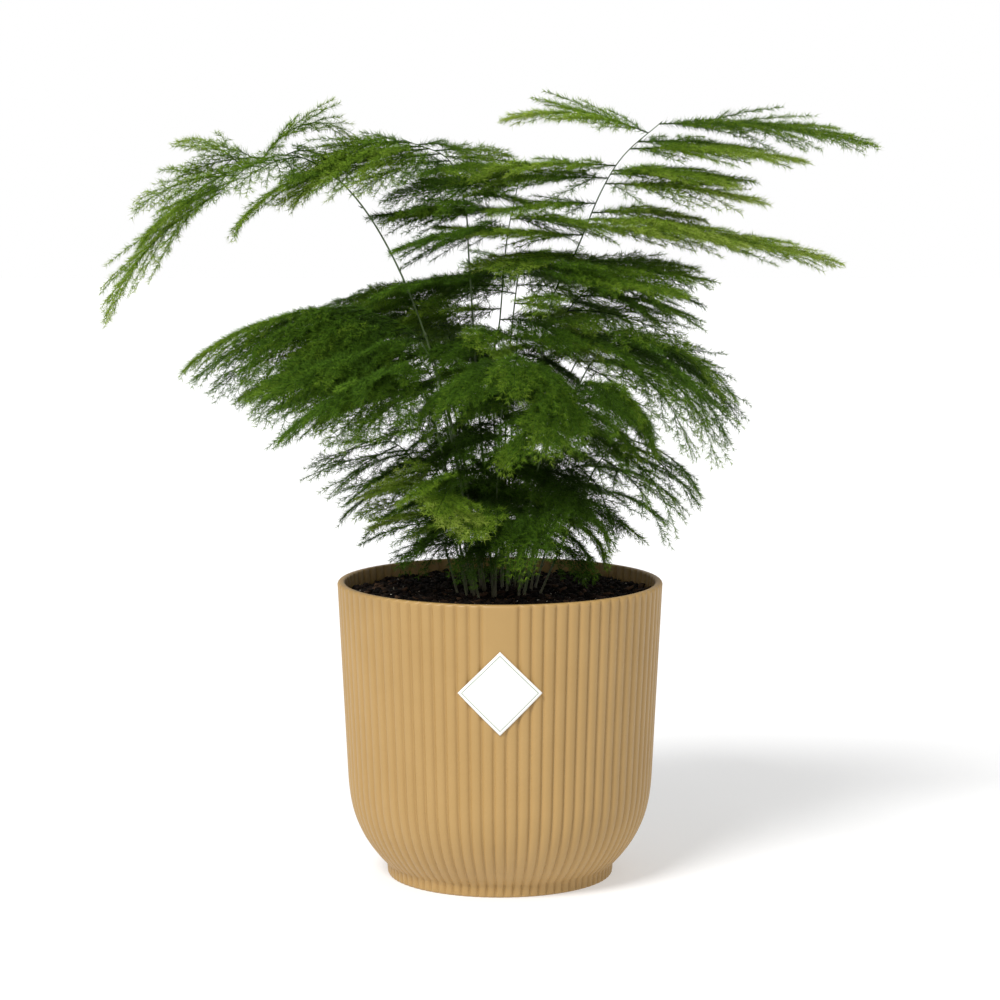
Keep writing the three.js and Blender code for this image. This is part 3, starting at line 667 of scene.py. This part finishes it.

# the first stem colours, where the stems leave the crown, are darkened as painted shade under the foliage
stemLook = {"radius": 0.50, "taper": 0.62, "sides": 8, "rings": 40, "scaleEvery": 11, "scaleLength": 2.4,
            "colours": [(0.0, "#6f5b47"), (0.04, "#7f7c64"), (0.12, "#6f7a57"), (0.3, "#52663a"),
                        (1.0, "#46602a")]}
plumeLook = {
    "overrun": 1.03, "point": 1.0, "axisRadius": 0.30,
    "branchEvery": 5.6, "branchShare": 0.52, "branchMost": 34, "branchLeast": 3.6, "branchRadius": 0.14,
    "twigEvery": 3.2, "twigShare": 0.24, "twigMost": 6.5, "twigLeast": 2.2,
    "tuftEvery": 1.3, "needles": 6, "needleLength": 4.1, "needleRadius": 0.115, "flatness": 0.7,
    "leanLeast": 30, "leanMost": 72, "sway": 7,
    "young": 0.80, "old": 0.30, "seed": 5,
}
foliageColours = [(0.0, "#1a2a06"), (0.3, "#33500e"), (0.55, "#527818"), (0.8, "#82a32c"), (1.0, "#b0c455")]
# strays are small side sprays on the bare part of a tall stem
strays = {"centre_spire": 18, "tall_right": 8, "left_crest": 7, "core_middle": 4}
# how each shoot differs from the usual: how pale its green is (young growth is paler, and the low values on
# the core shoots also paint shade inside the plant), hang of its twigs, fullness of its plumes
usualShoot = {"youthAndLight": 0.45, "hang": 0.30, "full": 1.0, "roll": 0.55}
shootMoods = {
    "left_arch": {"youthAndLight": 0.72, "hang": 0.18, "full": 0.85},
    "left_crest": {"youthAndLight": 0.6, "hang": 0.12, "roll": 0.3},
    "tall_right": {"youthAndLight": 0.75, "hang": 0.12, "full": 1.2, "roll": 0.22},
    "centre_spire": {"hang": 0.22, "full": 1.5, "roll": 0.5}, "inner_right": {"hang": 0.14, "full": 0.75},
    "back_rise": {"hang": 0.15}, "back_right": {"full": 0.6}, "left_wing_low": {"hang": 0.2},
    "wedge_middle": {"hang": 0.2, "full": 1.2}, "front_fall": {"youthAndLight": 0.38, "hang": 0.5, "full": 1.9},
    "front_right_fall": {"youthAndLight": 0.38, "hang": 0.5, "full": 1.9},
    "bright_shelf": {"youthAndLight": 0.9, "hang": 0.05, "full": 1.2},
    "right_wing": {"youthAndLight": 0.35, "hang": 0.2, "full": 0.5},
    "left_low": {"youthAndLight": 0.3, "hang": 0.1, "full": 0.2},
    "left_skirt": {"youthAndLight": 0.25, "hang": 0.12, "full": 0.3},
    "right_low": {"youthAndLight": 0.3, "hang": 0.2, "full": 0.25},
    "right_skirt": {"youthAndLight": 0.25, "hang": 0.45, "full": 1.3},
    # the core shoots are older, darker green, and are darkened further as painted shade inside the plant
    "core_front": {"youthAndLight": 0.05, "hang": 0.4, "full": 2.0},
    "core_left": {"youthAndLight": 0.05, "hang": 0.4, "full": 1.5},
    "core_middle": {"youthAndLight": 0.12, "hang": 0.35, "full": 1.8},
    "core_right": {"youthAndLight": 0.08, "hang": 0.4, "full": 2.0},
    "core_back": {"youthAndLight": 0.1, "hang": 0.4, "full": 1.8}, "back_left_low": {"full": 0.6},
    "back_right_low": {"full": 0.6},
}


def stemPath(shoot, shares):
    knots = [[*shoot["foot"], soilHigh], *shoot["bends"]]
    return curvePoints(knots, shares)


def plumePath(plume, start, length, sway):
    # sway is how far the heading swings to either side on the way, in degrees
    heading, rise, droop = plume[1], plume[3], plume[4]
    steps = 24
    share = (np.arange(steps) + 0.5) / steps
    slope = np.radians(rise - droop * share ** 1.3)
    turn = np.radians(heading + sway * np.sin(2 * math.pi * share))
    ways = np.stack([np.cos(slope) * np.cos(turn), np.cos(slope) * np.sin(turn), np.sin(slope)], 1)
    return np.vstack([start, start + np.cumsum(ways * length / steps, 0)])


def readPath(path, shares):
    place = np.clip(shares, 0, 1) * (len(path) - 1)
    i = np.minimum(place.astype(int), len(path) - 2)
    w = (place - i)[:, None]
    return path[i] * (1 - w) + path[i + 1] * w, unit(path[i + 1] - path[i])


def stemMaterial():
    # ripe asparagus stem: a smooth waxy skin, reddish where it leaves the crown, greener above; near the
    # crown the colours are also darkened as painted shade under the foliage
    made, tree, shader = principled("waxy asparagus stem", Roughness=0.5, IOR=1.45)
    place = node(tree, "ShaderNodeUVMap", {"uv_map": "OFBake"})
    split = node(tree, "ShaderNodeSeparateXYZ", links={"Vector": (place, "UV")})
    tone = ramp(tree, (split, "X"), stemLook["colours"])
    streak = node(tree, "ShaderNodeTexNoise", links={"Vector": (place, "UV"), "Scale": 24.0, "Detail": 3.0})
    shade = node(tree, "ShaderNodeMapRange", links={
        "Value": (streak, "Fac"), "From Min": 0.3, "From Max": 0.7, "To Min": 0.78, "To Max": 1.12})
    mixed = node(tree, "ShaderNodeMix", {"data_type": "RGBA", "blend_type": "MULTIPLY"},
                 {0: 1.0, 6: (tone, "Color"), 7: (shade, "Result")})
    tree.links.new(mixed.outputs[2], shader.inputs["Base Color"])
    return made


def foliageMaterial():
    # needle leaves: a thin waxy skin over soft green tissue, so a low broad sheen
    # younger needles are yellower; the darkest tones, on the core shoots, are partly painted shade inside
    # the plant
    made, tree, shader = principled(
        "asparagus needle foliage", Roughness=0.6, IOR=1.4, Specular_IOR_Level=0.2)
    place = node(tree, "ShaderNodeUVMap", {"uv_map": "OFBake"})
    split = node(tree, "ShaderNodeSeparateXYZ", links={"Vector": (place, "UV")})
    tone = ramp(tree, (split, "X"), foliageColours)
    tip = node(tree, "ShaderNodeMapRange", links={
        "Value": (split, "Y"), "From Min": 0.0, "From Max": 1.0, "To Min": 0.72, "To Max": 1.2})
    mixed = node(tree, "ShaderNodeMix", {"data_type": "RGBA", "blend_type": "MULTIPLY"},
                 {0: 1.0, 6: (tone, "Color"), 7: (tip, "Result")})
    tree.links.new(mixed.outputs[2], shader.inputs["Base Color"])
    return made


class Heap:
    # gathers points, faces and map places for one mesh
    def __init__(self):
        self.points, self.quads, self.tris, self.uv, self.count = [], [], [], [], 0

    def add(self, points, uv, quads=None, tris=None):
        if quads is not None:
            self.quads.append(quads + self.count)
        if tris is not None:
            self.tris.append(tris + self.count)
        self.points.append(points)
        self.uv.append(uv)
        self.count += len(points)

    def piece(self, name, material):
        faces = [np.vstack(group) for group in (self.quads, self.tris) if group]
        return meshPiece(name, np.vstack(self.points) * mm, faces, material, np.vstack(self.uv))


def tubeInto(heap, path, radii, sides, across, tones):
    points, walls, caps = tube(path, radii, sides, across)
    tones = np.repeat(np.broadcast_to(tones, len(path)), sides)
    around = np.tile(np.arange(sides) / sides * 0.8 + 0.1, len(path))
    uv = np.stack([tones + 0.006 * np.cos(around * 7.8), around], 1)
    ends = np.array([[tones[0], 0.5], [tones[-1], 0.5]])
    heap.add(points, np.clip(np.vstack([uv, ends]), 0.001, 0.999), walls, caps)


def needlesInto(heap, roots, directions, lengths, radii, tones):
    # each needle is a closed three-sided spike
    helper = np.where(np.abs(directions[:, 2:3]) > 0.9, np.array([[1.0, 0, 0]]), np.array([[0, 0, 1.0]]))
    side = unit(np.cross(directions, helper))
    up = np.cross(directions, side)
    corners = []
    for k in range(3):
        a = 2 * math.pi * k / 3
        corners.append(roots + radii[:, None] * (math.cos(a) * side + math.sin(a) * up))
    corners.append(roots + directions * lengths[:, None])
    points = np.stack(corners, 1).reshape(-1, 3)
    first = 4 * np.arange(len(roots))[:, None, None]
    tris = (first + np.array([(0, 1, 3), (1, 2, 3), (2, 0, 3), (0, 2, 1)])).reshape(-1, 3)
    u = tones[:, None] + np.array([0, 0.005, 0.01, 0.005])
    v = np.broadcast_to([0.04, 0.08, 0.04, 0.96], u.shape)
    heap.add(points, np.clip(np.stack([u, v], 2), 0.001, 0.999).reshape(-1, 2), None, tris)


def tuft(rng, roots, ahead, flat, sizes, tones):
    # needles around a twig: flat is the direction that the spray is flattened along
    look = plumeLook
    each = look["needles"]
    roots, ahead, flat = (np.repeat(v, each, 0) for v in (roots, ahead, flat))
    sizes, tones = np.repeat(sizes, each), np.repeat(tones, each)
    side = unit(np.cross(flat, ahead))
    up = np.cross(ahead, side)
    around = rng.random(len(roots)) * 2 * np.pi
    lean = np.radians(look["leanLeast"] + (look["leanMost"] - look["leanLeast"]) * rng.random(len(roots)))
    outward = side * np.cos(around)[:, None] + up * (np.sin(around) * look["flatness"])[:, None]
    directions = unit(ahead * np.cos(lean)[:, None] + outward * np.sin(lean)[:, None])
    lengths = look["needleLength"] * sizes * (0.65 + 0.5 * rng.random(len(roots)))
    shift = look["tuftEvery"] * (rng.random(len(roots)) - 0.5)
    return roots + ahead * shift[:, None], directions, lengths, tones + 0.12 * (rng.random(len(roots)) - 0.5)


class Spray:
    # gathers the places on a plume that carry needles
    def __init__(self):
        self.rows = [[], [], [], [], []]

    def add(self, *values):
        for row, value in zip(self.rows, values):
            row.append(value)

    def all(self):
        return [np.concatenate(row) for row in self.rows]


def growTwig(heap, spray, base, first, reach, flat, droop, tones, along, size):
    # a thin twig that bends forward and sags; it carries needles all the way
    look = plumeLook
    bend = 0.24 * along - np.array([0, 0, droop])
    tufts = max(2, int(reach / look["tuftEvery"]))
    x = (np.arange(tufts) + 0.6) / tufts
    points = base + reach * (first * x[:, None] + bend * (x ** 2)[:, None])
    ahead = unit(first + 2 * bend * x[:, None])
    steps = np.array([[0], [0.35], [0.7], [1]])
    wire = base + reach * (first * steps + bend * steps ** 2)
    thick = look["branchRadius"] * min(1, 0.5 + reach / 30)
    tubeInto(heap, wire, thick * np.array([1, 0.85, 0.65, 0.35]), 3, flat, 0.22 + 0.2 * tones[0])
    tone = tones[0] + (tones[1] - tones[0]) * x
    spray.add(points, ahead, np.broadcast_to(flat, points.shape), size * (1 - 0.35 * x ** 2), tone)
    return lambda at: (base + reach * (first * at + bend * at ** 2), unit(first + 2 * bend * at))


def growPlume(rng, heap, plume, start, youthAndLight, hang, full, roll):
    look = plumeLook
    length = plume[2] * look["overrun"]
    path = plumePath(plume, start, length, look["sway"] * (2 * rng.random() - 1))
    turn = math.radians(plume[1])
    roll = roll * (2 * rng.random() - 1)
    across = np.array([-math.sin(turn) * math.cos(roll), math.cos(turn) * math.cos(roll), math.sin(roll)])
    mood = youthAndLight + 0.5 * (rng.random() - 0.5)
    baseTone = look["old"] + (look["young"] - look["old"]) * np.clip(mood, 0, 1)
    shares = np.linspace(0, 1, 14)
    axis, _ = readPath(path, shares)
    tubeInto(heap, axis, look["axisRadius"] * (1 - 0.7 * shares), 4, across, 0.10 + 0.2 * shares)
    spray = Spray()
    count = max(3, int(length / look["branchEvery"] * 2 * full))
    for k in range(count):
        share = (k + 0.7 + 0.5 * (rng.random() - 0.5)) / (count + 0.6)
        base, along = readPath(path, np.array([0.03 + 0.95 * share]))
        base, along = base[0], along[0]
        side = across if k % 2 else -across
        upward = np.cross(along, across)
        upward = upward if upward[2] > 0 else -upward
        spread = math.radians(54 - 22 * share + 16 * (rng.random() - 0.5))
        form = (1 - share) ** look["point"] * (0.45 + 0.55 * min(1, share * 4)) * (0.7 + 0.5 * rng.random())
        reach = min(look["branchMost"], look["branchLeast"] + look["branchShare"] * length * form)
        lift = 0.30 * (rng.random() - 0.45)
        first = unit(along * math.cos(spread) + side * math.sin(spread) + upward * lift)
        tone = baseTone + 0.18 * (share - 0.5) + 0.16 * (rng.random() - 0.5)
        droop = hang * (0.6 + 0.8 * rng.random())
        at = growTwig(heap, spray, base, first, reach, upward, droop, (tone - 0.1, tone + 0.16), along, 1.0)
        twigs = int(reach / look["twigEvery"]) - 1
        for j in range(max(0, twigs)):
            place = (j + 0.8) / (twigs + 0.8)
            spot, forward = at(place)
            outward = unit(np.cross(upward, forward)) * (1 if j % 2 else -1)
            small = min(look["twigMost"], look["twigLeast"] + look["twigShare"] * reach * (1 - place))
            small *= 0.8 + 0.4 * rng.random()
            aim = unit(forward * 0.72 + outward * 0.7 + upward * 0.25 * (rng.random() - 0.4))
            growTwig(heap, spray, spot, aim, small, upward, 0.05, (tone - 0.02, tone + 0.14), forward, 0.85)
    tufts = max(4, int(length / look["tuftEvery"]))
    shares = (np.arange(tufts) + 0.5) / tufts
    points, along = readPath(path, shares)
    spray.add(points, along, np.cross(along, across), 1 - 0.4 * shares ** 2, baseTone + 0.3 * (shares - 0.5))
    roots, directions, lengths, tones = tuft(rng, *spray.all())
    ends = roots + directions * lengths[:, None]
    keep = (np.hypot(ends[:, 0], ends[:, 1]) > rimRadius + 1) | (ends[:, 2] > soilHigh + 1.2)
    needlesInto(heap, roots[keep], directions[keep], lengths[keep],
                np.full(keep.sum(), look["needleRadius"]), tones[keep])
    return int(keep.sum())


def makeShoots():
    rng = np.random.default_rng(plumeLook["seed"])
    waxy, needle = stemMaterial(), foliageMaterial()
    total = 0
    for number, shoot in enumerate(shoots):
        lean = np.array([*np.subtract(shoot["bends"][-1][:2], shoot["foot"]), 0.0])
        across = unit(np.array([-lean[1], lean[0], 0.0]))
        leafy = shoot["leafy"]
        stem = Heap()
        shares = np.linspace(0, leafy, stemLook["rings"])
        path = stemPath(shoot, shares)
        path[0, 2] -= 1.5
        thick = stemLook["radius"] * (1 - stemLook["taper"] * shares)
        flare = 1 + 0.55 * np.exp(-shares * 60)
        tubeInto(stem, path, thick * flare, stemLook["sides"], across, 0.03 + 0.9 * shares)
        tall = np.linalg.norm(np.diff(path, axis=0), axis=1).sum()
        for k in range(1, int(tall / stemLook["scaleEvery"])):
            at = k * stemLook["scaleEvery"] / tall * leafy
            spot = stemPath(shoot, np.array([at, at + 0.01]))
            up = unit(spot[1] - spot[0])
            around = 2.4 * k + number
            out = unit(across * math.cos(around) + np.cross(up, across) * math.sin(around))
            needlesInto(stem, (spot[0] + out * 0.4)[None], unit(up * 0.9 + out * 0.45)[None],
                        np.array([stemLook["scaleLength"]]), np.array([0.4]), np.array([0.02 + 0.8 * at]))
        stemPiece = stem.piece("stem_" + shoot["name"] + "_wiry", waxy)
        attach(stemPiece, "root")
        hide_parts("stem_" + shoot["name"])

        frond = Heap()
        shares = np.linspace(leafy, 1, 26)
        thick = stemLook["radius"] * (1 - stemLook["taper"] * shares)
        tubeInto(frond, stemPath(shoot, shares), thick, 6, across, 0.12 + 0.25 * shares)
        mood = {**usualShoot, **shootMoods.get(shoot["name"], {})}
        for plume in shoot["plumes"]:
            at = leafy + (1 - leafy) * (0.05 + 0.93 * plume[0])
            start = stemPath(shoot, np.array([at]))[0]
            total += growPlume(rng, frond, plume, start, **mood)
        for k in range(strays.get(shoot["name"], 0)):
            start = stemPath(shoot, np.array([leafy * (0.62 + 0.38 * rng.random())]))[0]
            stray = [0, 360 * rng.random(), 16 + 20 * rng.random(), 8, 40]
            total += growPlume(rng, frond, stray, start, **mood)
        frondPiece = frond.piece("frond_" + shoot["name"] + "_needles", needle)
        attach(frondPiece, "root")
        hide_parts("frond_" + shoot["name"])
    print("stage: shoots,", total, "needles")


makeShoots()
